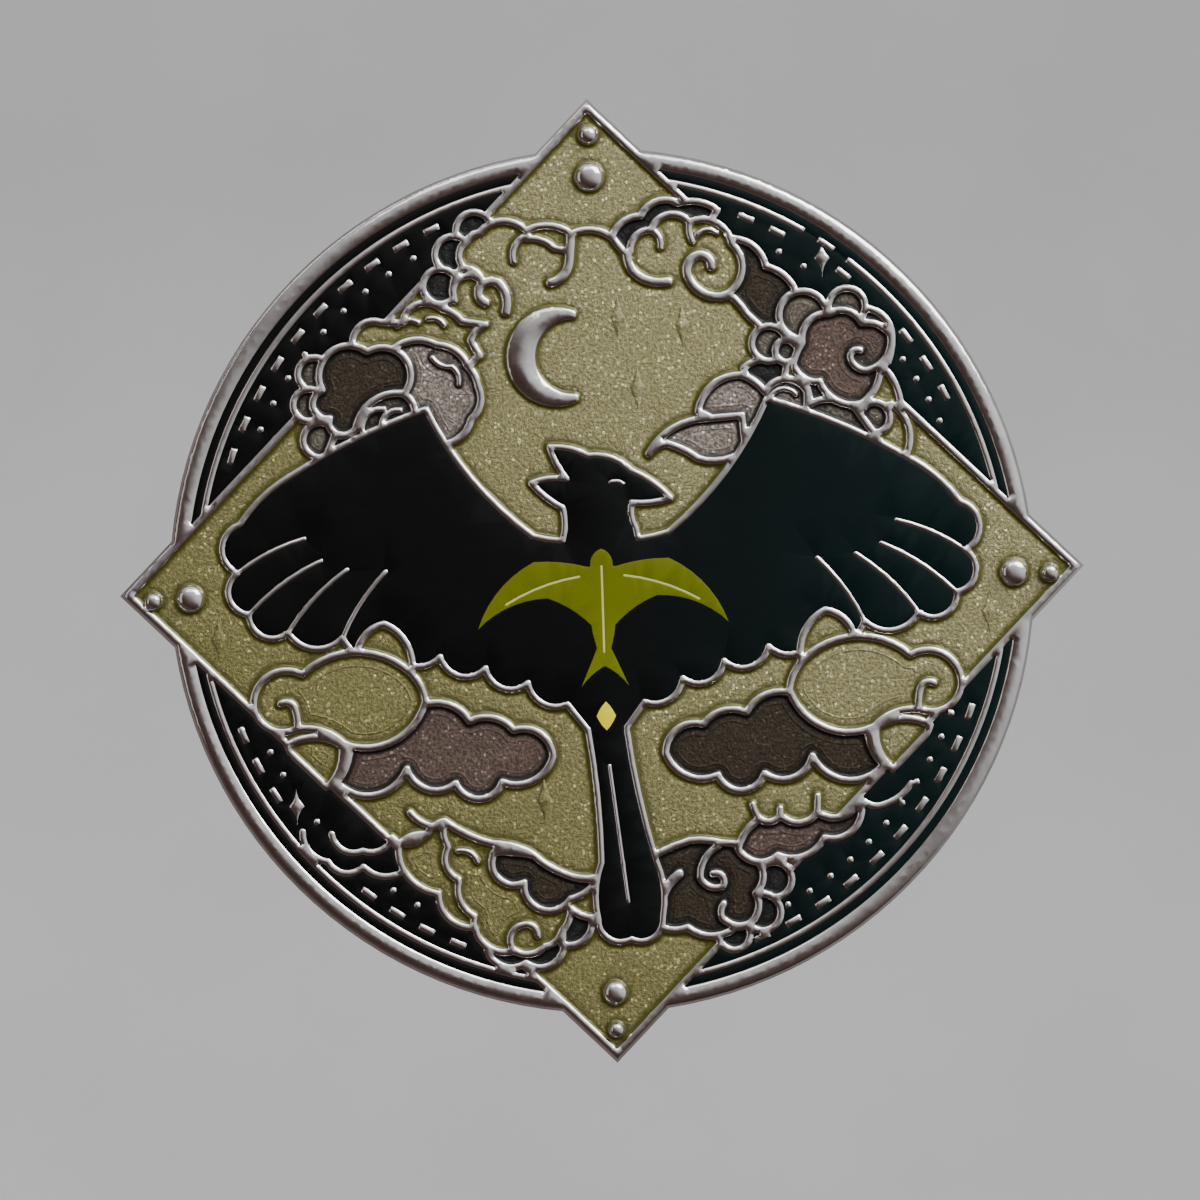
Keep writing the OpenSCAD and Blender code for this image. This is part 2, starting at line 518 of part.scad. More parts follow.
module se_black_enamel() enamel("se_black", black, dark_top);

// The printed emblem lies on the bird's enamel
module emblem_shape() {
    both_sides() fill(emblem_wing);
    fill(emblem_body);
}
module emblem_strokes() {
    line(emblem_lines[0], emblem_line);
    both_sides() for (i = [1:len(emblem_lines) - 1]) line(emblem_lines[i], emblem_line);
}
module emblem_print()
    color("#8e9418") stand() translate([0, 0, enamel_top]) linear_extrude(print_t)
        offset(delta = -fit_gap)
            difference() {
                emblem_shape();
                fill(emblem_tip);
                emblem_strokes();
            }
module emblem_tip_print()
    color("#d7cd18") stand() translate([0, 0, enamel_top]) linear_extrude(print_t)
        offset(delta = 0) fill(emblem_tip);
module emblem_line_print()
    color("#c9cc8a") stand() translate([0, 0, enamel_top]) linear_extrude(print_t)
        offset(delta = 0)
            intersection() {
                emblem_strokes();
                emblem_shape();
            }

// A post is turned wire on a foot, which fills a spot face in the back of the casting. Posts and
// clutches are drawn along +Z and placed pointing away from the back face.
foot_r = 2.4;
foot_t = 0.5;
collar_r = 0.8;
collar_l = 1;
tip_l = 1.3;
groove_at = 1.9;             // of the groove's middle below the point
groove_deep = 0.1;
module on_post(side) rotate([-90, 0, 0]) translate([side * post_gap / 2, -post_up, 0]) children();
module post(side)
    color("#c9c9cc") scale(art) on_post(side)
        rotate_extrude($fn = 48) polygon([
            [0, -foot_t], [foot_r - fit_gap, -foot_t], [foot_r - fit_gap, 0], [collar_r, 0],
            [collar_r, collar_l], [needle_d / 2, collar_l + 0.25], [needle_d / 2, post_l - groove_at - 0.3],
            [needle_d / 2 - groove_deep, post_l - groove_at - 0.15],
            [needle_d / 2 - groove_deep, post_l - groove_at + 0.15],
            [needle_d / 2, post_l - groove_at + 0.3], [needle_d / 2, post_l - tip_l], [0.12, post_l - 0.1],
            [0, post_l]
        ]);
module post_left() post(-1);
module post_right() post(1);

// A butterfly clutch, from the cloth outwards: a cup with a rolled lip, a spring strip that lies on its
// floor, a cover crimped under the lip, and two wings whose jaws grip the needle
sheet = 0.3;                 // stamped sheet
needle_gap = 0.06;
cup_r = cup_d / 2;
cup_h = 1.7;
lip = 0.8;
cover_z = 1.05;
cover_window = [6.6, 5.5];
strip_w = 4.6;
limb_x = 2.4;                // inner face of each of the spring's upright limbs
limb_h = 2.15;
wing_w = 4.6;
wing_pivot = [2.15, 2.4];    // across and out
jaw_z = 1.2;
jaw_gap = 0.05;
module clutch(side) scale(art) on_post(side) translate([0, 0, cloth_gap]) children();
module cup(side)
    color("#c4c4c6") clutch(side)
        rotate_extrude($fn = 64) polygon([
            [needle_d / 2 + needle_gap, 0], [cup_r - 0.35, 0], [cup_r, 0.35], [cup_r, cup_h - 0.25],
            [cup_r - 0.25, cup_h], [cup_r - lip, cup_h], [cup_r - lip, cup_h - sheet],
            [cup_r - sheet, cup_h - sheet], [cup_r - sheet, sheet + 0.1], [cup_r - sheet - 0.1, sheet],
            [needle_d / 2 + needle_gap, sheet]
        ]);
module cover(side)
    color("#bebec1") clutch(side)
        difference() {
            translate([0, 0, cover_z]) cylinder(r = cup_r - sheet - 0.01, h = sheet, $fn = 64);
            translate([0, 0, cover_z + sheet / 2]) cube([cover_window.x, cover_window.y, 2 * sheet], center = true);
        }
module spring(side)
    color("#c8c8ca") clutch(side)
        difference() {
            union() {
                translate([-limb_x - sheet, -strip_w / 2, sheet]) cube([2 * (limb_x + sheet), strip_w, sheet]);
                for (end = [-1, 1])
                    translate([end * (limb_x + sheet / 2) - sheet / 2, -strip_w / 2, sheet])
                        cube([sheet, strip_w, limb_h - sheet]);
            }
            cylinder(r = needle_d / 2 + needle_gap, h = 5, $fn = 48);
        }
// A wing's own sheet, in section: jaw, web, then the wing that leans out and curls at its end
function wing_middle() = [
    [jaw_gap, jaw_z, 0], [wing_pivot.x - 0.25, jaw_z, 0], [wing_pivot.x, wing_pivot.y, 0.02],
    [wing_pivot.x + 0.75, wing_h - 1.9, -0.2], [wing_pivot.x + 2.3, wing_h - 0.35, 0]
];
module wing_section()
    offset(r = sheet / 2 - 0.01, $fn = 16) line(wing_middle(), 0.02);
module wing(side, turn)
    color("#d2d2d4") clutch(side) rotate(turn)
        difference() {
            intersection() {
                rotate([90, 0, 0]) translate([0, 0, -wing_w / 2]) linear_extrude(wing_w)
                    intersection() {
                        wing_section();
                        translate([jaw_gap, 0]) square([cup_r + 1, wing_h]);
                    }
                wing_plan();
            }
            cylinder(r = needle_d / 2 + needle_gap, h = 2, $fn = 48);
        }
// Seen from behind, a wing ends in a half round
module wing_plan() {
    reach = wing_pivot.x + 2.3 + sheet / 2;
    linear_extrude(wing_h + 1) {
        translate([0, -wing_w / 2]) square([reach - wing_w / 2, wing_w]);
        translate([reach - wing_w / 2, 0]) circle(d = wing_w, $fn = 64);
    }
}
module clutch_left_cup() cup(-1);
module clutch_left_cover() cover(-1);
module clutch_left_spring() spring(-1);
module clutch_left_wing_a() wing(-1, 0);
module clutch_left_wing_b() wing(-1, 180);
module clutch_right_cup() cup(1);
module clutch_right_cover() cover(1);
module clutch_right_spring() spring(1);
module clutch_right_wing_a() wing(1, 0);
module clutch_right_wing_b() wing(1, 180);

pin_casting();
rim_ring_enamel();
ring_enamel_nw();
ring_enamel_ne();
ring_enamel_sw();
ring_enamel_se();
corner_enamel_top();
corner_enamel_left();
corner_enamel_right();
corner_enamel_bottom();
sky_enamel();
field_enamel_left();
field_enamel_right();
bird_enamel();
nw_gold_enamel();
nw_grey_enamel();
nw_brown_enamel();
nw_smoke_enamel();
n_black_enamel();
ne_black_enamel();
ne_brown_enamel();
ne_smoke_enamel();
ne_mauve_enamel();
ne_grey_enamel();
ne_gold_enamel();
left_gold_enamel();
left_mauve_enamel();
right_gold_enamel();
right_brown_enamel();
sw_gold_enamel();
sw_brown_enamel();
sw_black_enamel();
se_mauve_enamel();
se_brown_enamel();
se_black_enamel();
emblem_print();
emblem_tip_print();
emblem_line_print();
post_left();
post_right();
clutch_left_cup();
clutch_left_cover();
clutch_left_spring();
clutch_left_wing_a();
clutch_left_wing_b();
clutch_right_cup();
clutch_right_cover();
clutch_right_spring();
clutch_right_wing_a();
clutch_right_wing_b();
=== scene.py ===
import json
import math
from collections import defaultdict

import bpy
import numpy as np
from mathutils import Matrix, Vector, kdtree
from mathutils.geometry import delaunay_2d_cdt

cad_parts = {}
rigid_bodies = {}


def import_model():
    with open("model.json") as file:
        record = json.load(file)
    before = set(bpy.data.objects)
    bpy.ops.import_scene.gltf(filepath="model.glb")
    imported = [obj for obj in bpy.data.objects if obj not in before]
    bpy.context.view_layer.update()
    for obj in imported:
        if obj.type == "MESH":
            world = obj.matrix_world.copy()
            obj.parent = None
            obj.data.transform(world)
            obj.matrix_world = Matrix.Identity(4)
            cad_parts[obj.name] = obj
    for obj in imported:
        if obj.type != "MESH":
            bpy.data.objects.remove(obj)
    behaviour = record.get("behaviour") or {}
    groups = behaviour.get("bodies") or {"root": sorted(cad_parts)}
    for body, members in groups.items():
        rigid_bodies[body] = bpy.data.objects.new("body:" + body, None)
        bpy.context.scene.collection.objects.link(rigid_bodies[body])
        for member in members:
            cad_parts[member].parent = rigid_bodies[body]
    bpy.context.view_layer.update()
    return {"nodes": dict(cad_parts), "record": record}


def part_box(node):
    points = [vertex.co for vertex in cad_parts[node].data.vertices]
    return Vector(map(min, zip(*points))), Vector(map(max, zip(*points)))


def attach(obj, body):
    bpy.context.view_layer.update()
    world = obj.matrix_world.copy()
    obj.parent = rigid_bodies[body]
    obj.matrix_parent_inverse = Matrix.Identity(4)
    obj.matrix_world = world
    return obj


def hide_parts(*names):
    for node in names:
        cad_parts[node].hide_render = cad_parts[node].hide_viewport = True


# An enamel pin. The frame's nodes give every outline; this script rounds the metal, fills the pools,
# shapes the hardware behind and makes the surfaces. Lengths are in millimetres until a mesh is made.
for leftover in list(bpy.data.objects):
    bpy.data.objects.remove(leftover)
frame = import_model()
MM = 0.001

# ---------------------------------------------------------------- camera
SHOT_WIDTH = 75.0        # what the picture spans at the badge
SHOT_CENTRE = (-0.16, -1.19)
SHOT_ROLL = 1.85         # degrees, the badge lies turned to the left by this
SHOT_DISTANCE = 330.0
SENSOR = 36.0


def make_camera():
    data = bpy.data.cameras.new("camera")
    data.sensor_width = SENSOR
    data.lens = SENSOR * SHOT_DISTANCE / SHOT_WIDTH
    data.clip_start, data.clip_end = 0.01, 20
    cam = bpy.data.objects.new("camera", data)
    bpy.context.scene.collection.objects.link(cam)
    x, z = SHOT_CENTRE
    cam.matrix_world = (
        Matrix.Translation(Vector((x, -SHOT_DISTANCE, z)) * MM)
        @ Matrix.Rotation(math.radians(SHOT_ROLL), 4, "Y")
        @ Matrix.Rotation(math.radians(90), 4, "X")
    )
    bpy.context.scene.camera = cam


make_camera()


# ---------------------------------------------------------------- outlines of the frame's nodes
WELD = 1e-4
LEVEL_SLACK = 2e-3


def welded(node):
    """A CAD node's corners, each once, and its triangles."""
    mesh = frame["nodes"][node].data
    mesh.calc_loop_triangles()
    corners = np.empty(len(mesh.vertices) * 3)
    mesh.vertices.foreach_get("co", corners)
    corners = corners.reshape(-1, 3) / MM
    tris = np.empty(len(mesh.loop_triangles) * 3, np.int32)
    mesh.loop_triangles.foreach_get("vertices", tris)
    keys = np.round(corners / WELD).astype(np.int64)
    _, first, index = np.unique(keys, axis=0, return_index=True, return_inverse=True)
    return corners[first], index.reshape(-1)[tris].reshape(-1, 3)


def loops_at(points, tris, level):
    """The outlines, in (x, z), of a node's flat faces at one y; the solid is on each outline's left."""
    flat = tris[(np.abs(points[tris][:, :, 1] - level) < LEVEL_SLACK).all(axis=1)]
    edges = set()
    for a, b, c in flat.tolist():
        u, v, w = points[a], points[b], points[c]
        turn = (v[0] - u[0]) * (w[2] - u[2]) - (v[2] - u[2]) * (w[0] - u[0])
        if turn < 0:
            b, c = c, b
        for edge in ((a, b), (b, c), (c, a)):
            if edge[::-1] in edges:
                edges.remove(edge[::-1])
            else:
                edges.add(edge)
    following = defaultdict(list)
    for a, b in sorted(edges):
        following[a].append(b)
    loops = []
    while following:
        start = min(following)
        loop, at = [], start
        while True:
            loop.append(at)
            ends = following[at]
            step = ends.pop()
            if not ends:
                del following[at]
            at = step
            if at == start or at not in following:
                break
        if len(loop) > 2:
            loops.append(points[loop][:, [0, 2]])
    return loops


def thinned(loop, shortest):
    """The loop without the points that lie closer together than this."""
    kept = [loop[0]]
    for p in loop[1:]:
        if np.hypot(*(p - kept[-1])) >= shortest:
            kept.append(p)
    if len(kept) > 3 and np.hypot(*(kept[0] - kept[-1])) < shortest:
        kept.pop()
    return np.array(kept)


def split(loop, longest):
    """The loop with its long runs divided."""
    out = []
    for p, q in zip(loop, np.roll(loop, -1, axis=0)):
        parts = max(1, math.ceil(np.hypot(*(q - p)) / longest))
        out += [p + (q - p) * k / parts for k in range(parts)]
    return np.array(out)


def loop_area(loop):
    x, y = loop.T
    return 0.5 * float(np.sum(x * np.roll(y, -1) - np.roll(x, -1) * y))


def tree_of(points):
    tree = kdtree.KDTree(len(points))
    for i, (x, y) in enumerate(points):
        tree.insert((x, y, 0), i)
    tree.balance()
    return tree


def contains(loops, points):
    """Even-odd test of many points against a set of loops."""
    inside = np.zeros(len(points), bool)
    x, y = points.T
    for loop in loops:
        lo, hi = loop.min(0), loop.max(0)
        near = np.flatnonzero((y >= lo[1]) & (y <= hi[1]) & (x <= hi[0]))
        if not len(near):
            continue
        px, py = x[near][:, None], y[near][:, None]
        x1, y1 = loop.T
        x2, y2 = np.roll(loop, -1, axis=0).T
        crosses = (y1 > py) != (y2 > py)
        with np.errstate(divide="ignore", invalid="ignore"):
            at = x1 + (py - y1) * (x2 - x1) / (y2 - y1)
        inside[near] ^= (crosses & (px < at)).sum(axis=1) % 2 == 1
    return inside


# ---------------------------------------------------------------- skins: outlines filled with points
SAMPLE = 0.05            # spacing of the wall's points when distances to it are taken
ROW_SLACK = 0.93         # share of its depth that a row point must really lie from the wall
HEX_ROW = 0.866          # spacing of a hexagonal grid's rows over its pitch
MEET = 1e-7              # points this close are one when an outline is filled
SMALLEST_AREA = 1e-3     # outlines that enclose less are left out


def rows_inside(loops, depths, wall):
    """Points on rows that follow the outlines at each depth."""
    rows = []
    for loop in loops:
        before, after = np.roll(loop, 1, axis=0), np.roll(loop, -1, axis=0)
        along = after - before
        size = np.hypot(*along.T)[:, None]
        inward = np.stack([-along[:, 1], along[:, 0]], axis=1) / np.maximum(size, 1e-9)
        for depth in depths:
            for x, y in loop + inward * depth:
                if wall.find((x, y, 0))[2] >= ROW_SLACK * depth:
                    rows.append((x, y, depth))
    return rows


def spread_out(rows, spacing):
    """Drops row points that crowd one another; rows come nearest the wall first."""
    taken, kept = set(), []
    for x, y, depth in rows:
        gap = spacing(depth)
        key = (int(x // gap), int(y // gap), gap)
        if key not in taken:
            taken.add(key)
            kept.append((x, y))
    return kept


def hex_grid(loops, pitch, wall, clear):
    """Points of a hexagonal grid inside the outlines and clear of their walls."""
    lo = np.min([p.min(0) for p in loops], axis=0)
    hi = np.max([p.max(0) for p in loops], axis=0)
    rows = []
    for j, y in enumerate(np.arange(lo[1], hi[1], pitch * HEX_ROW)):
        shift = pitch / 2 * (j % 2)
        rows += [(x + shift, y) for x in np.arange(lo[0], hi[0], pitch)]
    if not rows:
        return []
    grid = np.array(rows)
    grid = grid[contains(loops, grid)]
    return [(x, y) for x, y in grid if wall.find((x, y, 0))[2] > clear]


def fill(loops, inner):
    """Triangles over the region inside the loops, through the inner points. Returns points and faces."""
    points, edges = [], []
    for loop in loops:
        start, n = len(points), len(loop)
        points += [Vector(p) for p in loop]
        edges += [(start + k, start + (k + 1) % n) for k in range(n)]
    points += [Vector(p) for p in inner]
    verts, out_edges, faces, _, edge_from, _ = delaunay_2d_cdt(points, edges, [], 0, MEET)
    fixed = {frozenset(e) for e, source in zip(out_edges, edge_from) if source}
    sides = defaultdict(list)
    for i, face in enumerate(faces):
        for k in range(3):
            sides[frozenset((face[k], face[(k + 1) % 3]))].append(i)
    inside = [None] * len(faces)
    todo = []
    for edge, owners in sides.items():
        if len(owners) == 1 and inside[owners[0]] is None:
            inside[owners[0]] = edge in fixed
            todo.append(owners[0])
    while todo:
        i = todo.pop()
        for k in range(3):
            edge = frozenset((faces[i][k], faces[i][(k + 1) % 3]))
            for j in sides[edge]:
                if inside[j] is None:
                    inside[j] = inside[i] != (edge in fixed)
                    todo.append(j)
    return np.array([tuple(v) for v in verts]), [f for f, kept in zip(faces, inside) if kept]


def region(loops, depths=(), pitch=0, longest=0.5, shortest=0.02, spacing=None):
    """A filled outline: (points, faces, distance of each point from the wall, the loops used)."""
    loops = [thinned(loop, shortest) for loop in loops]
    loops = [loop for loop in loops if len(loop) > 2 and abs(loop_area(loop)) > SMALLEST_AREA]
    used = [split(loop, longest) for loop in loops]
    wall = tree_of(np.concatenate([split(loop, SAMPLE) for loop in loops]))
    inner = []
    if depths:
        rows = sorted(rows_inside(used, depths, wall), key=lambda r: r[2])
        inner = spread_out(rows, spacing or (lambda d: 0.3 * d + 0.05))
        if pitch:
            inner += hex_grid(loops, pitch, wall, max(depths) + 0.4 * pitch)
    points, faces = fill(used, inner)
    away = np.array([wall.find((x, y, 0))[2] for x, y in points])
    on_wall = {tuple(np.round(p, 5)) for loop in used for p in loop}
    for i, p in enumerate(points):
        if tuple(np.round(p, 5)) in on_wall:
            away[i] = 0
    return points, faces, away, used


class Shell:
    """Collects welded points and faces of one piece."""

    def __init__(self):
        self.points, self.faces, self.away, self.found = [], [], [], {}

    def point(self, x, y, z, away=0.0):
        key = (round(x, 5), round(y, 5), round(z, 5))
        if key not in self.found:
            self.found[key] = len(self.points)
            self.points.append((x, y, z))
            self.away.append(away)
        return self.found[key]

    def face(self, *ids):
        ids = [a for a, b in zip(ids, ids[1:] + ids[:1]) if a != b]
        if len(set(ids)) > 2:
            self.faces.append(ids)

    def skin(self, area, height, front=True):
        """A filled outline as a surface; height gives y from the distance to the wall."""
        points, faces, away, _ = area
        ids = [self.point(x, height(d), z, d) for (x, z), d in zip(points, away)]
        for a, b, c in faces:
            (ax, az), (bx, bz), (cx, cz) = points[a], points[b], points[c]
            left = (bx - ax) * (cz - az) - (bz - az) * (cx - ax) > 0
            tri = (ids[a], ids[b], ids[c]) if left == front else (ids[a], ids[c], ids[b])
            self.face(*tri)

    def walls(self, loops, y_front, y_back):
        for loop in loops:
            top = [self.point(x, y_front, z) for x, z in loop]
            low = [self.point(x, y_back, z) for x, z in loop]
            n = len(loop)
            for k in range(n):
                j = (k + 1) % n
                self.face(top[k], low[k], low[j], top[j])

    def slab(self, area, top, edge, back):
        """A closed solid: a shaped top, straight walls from the top's edge, and a flat back."""
        self.skin(area, top)
        self.walls(area[3], edge, back)
        self.skin(region(area[3], shortest=0, longest=9), lambda d: back, front=False)

    def object(self, name, body, sharp=40):
        mesh = bpy.data.meshes.new(name)
        mesh.from_pydata([Vector(p) * MM for p in self.points], [], self.faces)
        mesh.validate()
        mesh.update()
        values = mesh.attributes.new("wall", "FLOAT", "POINT")
        values.data.foreach_set("value", self.away)
        for p in mesh.polygons:
            p.use_smooth = True
        mesh.set_sharp_from_angle(angle=math.radians(sharp))
        obj = bpy.data.objects.new(name, mesh)
        bpy.context.scene.collection.objects.link(obj)
        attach(obj, body)
        return obj


# ---------------------------------------------------------------- surfaces
class Nodes:
    """A short way to wire a material's nodes."""

    def __init__(self, name):
        self.material = bpy.data.materials.new(name)
        self.material.use_nodes = True
        self.tree = self.material.node_tree
        self.shader = self.tree.nodes["Principled BSDF"]
        place = self.add("ShaderNodeTexCoord")
        scale = self.add("ShaderNodeMapping")
        scale.inputs["Scale"].default_value = (1 / MM,) * 3
        self.link(place.outputs["Object"], scale.inputs["Vector"])
        self.place = scale.outputs["Vector"]

    def add(self, kind, **settings):
        node = self.tree.nodes.new(kind)
        for key, value in settings.items():
            setattr(node, key, value)
        return node

    def link(self, a, b):
        self.tree.links.new(a, b)

    def set(self, **values):
        for key, value in values.items():
            self.shader.inputs[key.replace("_", " ")].default_value = value

    def noise(self, size, detail=3.0, rough=0.55, stretch=None):
        """A noise whose features measure about size millimetres."""
        node = self.add("ShaderNodeTexNoise")
        node.inputs["Scale"].default_value = 1 / size
        node.inputs["Detail"].default_value = detail
        node.inputs["Roughness"].default_value = rough
        place = self.place
        if stretch:
            squeeze = self.add("ShaderNodeMapping")
            squeeze.inputs["Scale"].default_value = stretch
            self.link(self.place, squeeze.inputs["Vector"])
            place = squeeze.outputs["Vector"]
        self.link(place, node.inputs["Vector"])
        return node.outputs["Fac"]

    def grains(self, size):
        node = self.add("ShaderNodeTexVoronoi")
        node.inputs["Scale"].default_value = 1 / size
        self.link(self.place, node.inputs["Vector"])
        return node

    def ramp(self, value, stops):
        node = self.add("ShaderNodeValToRGB")
        ramp = node.color_ramp
        while len(ramp.elements) < len(stops):
            ramp.elements.new(0.5)
        for element, (at, colour) in zip(ramp.elements, stops):
            element.position = at
            element.color = colour if len(colour) == 4 else (*colour, 1)
        self.link(value, node.inputs["Fac"])
        return node.outputs["Color"]

    def spread(self, value, low, high, to_low=0.0, to_high=1.0, smooth=True):
        node = self.add("ShaderNodeMapRange")
        node.interpolation_type = "SMOOTHSTEP" if smooth else "LINEAR"
        for key, v in (("From Min", low), ("From Max", high), ("To Min", to_low), ("To Max", to_high)):
            node.inputs[key].default_value = v
        self.link(value, node.inputs["Value"])
        return node.outputs["Result"]

    def math(self, kind, a, b=None):
        node = self.add("ShaderNodeMath", operation=kind)
        for socket, value in zip(node.inputs, (a, b)):
            if value is None:
                continue
            if isinstance(value, (int, float)):
                socket.default_value = value
            else:
                self.link(value, socket)
        return node.outputs["Value"]

    def mix(self, factor, a, b, blend="MIX"):
        node = self.add("ShaderNodeMix", data_type="RGBA", blend_type=blend)
        for socket, value in zip((node.inputs[0], node.inputs[6], node.inputs[7]), (factor, a, b)):
            if isinstance(value, (int, float)):
                socket.default_value = value
            elif isinstance(value, tuple):
                socket.default_value = (*value, 1)
            else:
                self.link(value, socket)
        return node.outputs[2]

    def bump(self, height, strength, depth, after=None):
        """depth is the bump's real height in millimetres."""
        node = self.add("ShaderNodeBump")
        node.inputs["Strength"].default_value = strength
        node.inputs["Distance"].default_value = depth * MM
        self.link(height, node.inputs["Height"])
        if after is not None:
            self.link(after, node.inputs["Normal"])
        return node.outputs["Normal"]

    def wall(self):
        node = self.add("ShaderNodeAttribute", attribute_name="wall")
        return node.outputs["Fac"]

    def feed(self, name, output):
        self.link(output, self.shader.inputs[name])


def polished_metal(name, tint=(0.75, 0.735, 0.73), shade=(0.63, 0.605, 0.60), rough=(0.09, 0.2)):
    """Nickel plate: bright, with faint clouding, handling marks and a soft waviness."""
    m = Nodes(name)
    m.set(Metallic=1.0)
    clouding = m.noise(2.6, detail=4)
    m.feed("Base Color", m.mix(m.spread(clouding, 0.35, 0.7), tint, shade))
    marks = m.noise(0.35, detail=5, stretch=(1.0, 1.0, 0.25))
    wear = m.math("ADD", m.math("MULTIPLY", clouding, 0.4), m.math("MULTIPLY", marks, 0.6))
    m.feed("Roughness", m.spread(wear, 0.35, 0.65, *rough))
    waves = m.bump(m.noise(1.6, detail=1), 0.2, 0.02)
    m.feed("Normal", m.bump(marks, 0.15, 0.004, waves))
    return m.material


def blasted_metal(name):
    """The back: sandblasted under the same plate."""
    m = Nodes(name)
    m.set(Metallic=1.0)
    pits = m.noise(0.16, detail=4, rough=0.7)
    tone = m.spread(m.noise(5.0), 0.35, 0.65)
    m.feed("Base Color", m.mix(tone, (0.62, 0.615, 0.61), (0.57, 0.565, 0.56)))
    m.feed("Roughness", m.spread(pits, 0.3, 0.7, 0.38, 0.55))
    m.feed("Normal", m.bump(pits, 0.8, 0.03, m.bump(m.noise(0.5), 0.5, 0.04)))
    return m.material


def flush_enamel(name, colour=(0.0033, 0.0033, 0.0034)):
    """Opaque enamel stoned level with the lines: deep, with a painted teal reflection towards the right and
    hairline marks.
    """
    m = Nodes(name)
    m.set(IOR=1.5, Specular_IOR_Level=0.16)
    side = m.add("ShaderNodeSeparateXYZ")
    m.link(m.place, side.inputs["Vector"])
    # painted reflection: the black turns teal towards the right (+X), mottled by a slow noise
    cast = m.math("ADD", m.math("MULTIPLY", m.noise(9.0, detail=2), 6.0), side.outputs["X"])
    m.feed("Base Color", m.mix(m.spread(cast, -2.0, 24.0), colour, (0.0022, 0.0078, 0.0082)))
    marks = m.noise(0.6, detail=6, stretch=(0.3, 1.0, 1.0))
    m.feed("Roughness", m.spread(marks, 0.4, 0.75, 0.10, 0.24))
    m.feed("Normal", m.bump(m.noise(1.8, detail=2), 0.25, 0.02))
    return m.material


PAINTED_LIGHT_SIDE = (0.75, 0.0, 0.66)      # the way in which painted light brightens the gold across the badge, towards the upper right


def pool_enamel(name, centre, deep, edge, thick_and_painted_shade_band=(0.08, 0.42), glitter=0.8, metal=0.35, ridge=0.0,
                grain=0.2, coat=0.12, far_side=None):
    """Translucent enamel over a sandblasted floor: it darkens against a wall, partly because it stands
    thick there and partly as painted shade beside the wall. Some grains carry painted glints, and the tone
    can be darkened towards the lower left as painted shade.
    """
    m = Nodes(name)
    m.set(Metallic=metal, Coat_Weight=coat, Coat_Roughness=0.06, Coat_IOR=1.5, Specular_IOR_Level=0.25)
    away = m.math("ADD", m.wall(), m.spread(m.noise(0.5, detail=2), 0.2, 0.8, -0.035, 0.035))
    grit = m.noise(grain, detail=4, rough=0.68)
    specks = m.grains(grain)
    cell = m.add("ShaderNodeSeparateColor")
    m.link(specks.outputs["Color"], cell.inputs["Color"])
    # painted glints: a few grains of the floor are picked out to be painted much lighter, standing in for
    # highlights
    painted_glint_specks = m.math("MULTIPLY", m.spread(cell.outputs["Red"], 0.84, 0.93),
                 m.spread(specks.outputs["Distance"], 0.55, 0.2))
    base = m.mix(m.spread(grit, 0.36, 0.64), deep, centre)
    base = m.mix(m.spread(cell.outputs["Blue"], 0.0, 0.4, 0.35, 0.0, smooth=False), base, deep)
    # painted highlight: those grains take a colour far brighter than the enamel's own
    base = m.mix(m.math("MULTIPLY", painted_glint_specks, glitter), base, tuple(min(1.0, c * 2.9 + 0.08) for c in centre))
    base = m.mix(m.spread(m.noise(4.5, detail=2), 0.35, 0.7, 0.0, 0.22), base, deep)
    # painted shade: the colour is darkened towards the lower left and keeps its full tone towards the upper
    # right
    if far_side:
        across = m.add("ShaderNodeVectorMath", operation="DOT_PRODUCT")
        across.inputs[1].default_value = PAINTED_LIGHT_SIDE
        m.link(m.place, across.inputs[0])
        painted_shade = m.mix(1.0, base, far_side, "MULTIPLY")
        base = m.mix(m.spread(across.outputs["Value"], -20.0, 14.0), painted_shade, base)
    # against a wall the colour is partly thicker enamel and partly painted shade
    m.feed("Base Color", m.mix(m.spread(away, *thick_and_painted_shade_band), edge, base))
    m.feed("Roughness", m.mix(m.spread(away, *thick_and_painted_shade_band), (0.3,) * 3, m.mix(painted_glint_specks, (0.42,) * 3, (0.2,) * 3)))
    height = m.math("MULTIPLY", m.math("ADD", grit, m.math("MULTIPLY", cell.outputs["Green"], 0.5)),
                    m.spread(away, 0.05, 0.5, 0.15, 1.0))
    floor = m.bump(height, 1.0, 0.13)
    if ridge:
        up = m.spread(m.wall(), ridge - 0.1, ridge)
        down = m.spread(m.wall(), ridge, ridge + 0.1)
        floor = m.bump(m.math("SUBTRACT", up, down), 0.8, 0.05, floor)
    m.feed("Normal", floor)
    swell = m.bump(m.noise(0.9, detail=2), 0.4, 0.03)
    m.feed("Coat Normal", m.bump(m.noise(0.26, detail=3), 0.8, 0.05, swell))
    return m.material


def printed_ink(name, light, dark, grain=0.12):
    """Screen-printed ink: a fine speck, and a slow change of tone from foot to head."""
    m = Nodes(name)
    m.set(IOR=1.45, Specular_IOR_Level=0.15)
    height = m.add("ShaderNodeSeparateXYZ")
    m.link(m.place, height.inputs["Vector"])
    fall = m.spread(height.outputs["Z"], -9.0, 1.5, 0.0, 1.0)
    speck = m.noise(grain, detail=4, rough=0.7)
    tone = m.math("ADD", m.math("MULTIPLY", fall, 0.8), m.math("MULTIPLY", speck, 0.25))
    m.feed("Base Color", m.mix(tone, light, dark))
    m.feed("Roughness", m.spread(speck, 0.3, 0.7, 0.34, 0.5))
    m.feed("Normal", m.bump(speck, 0.3, 0.01))
    return m.material


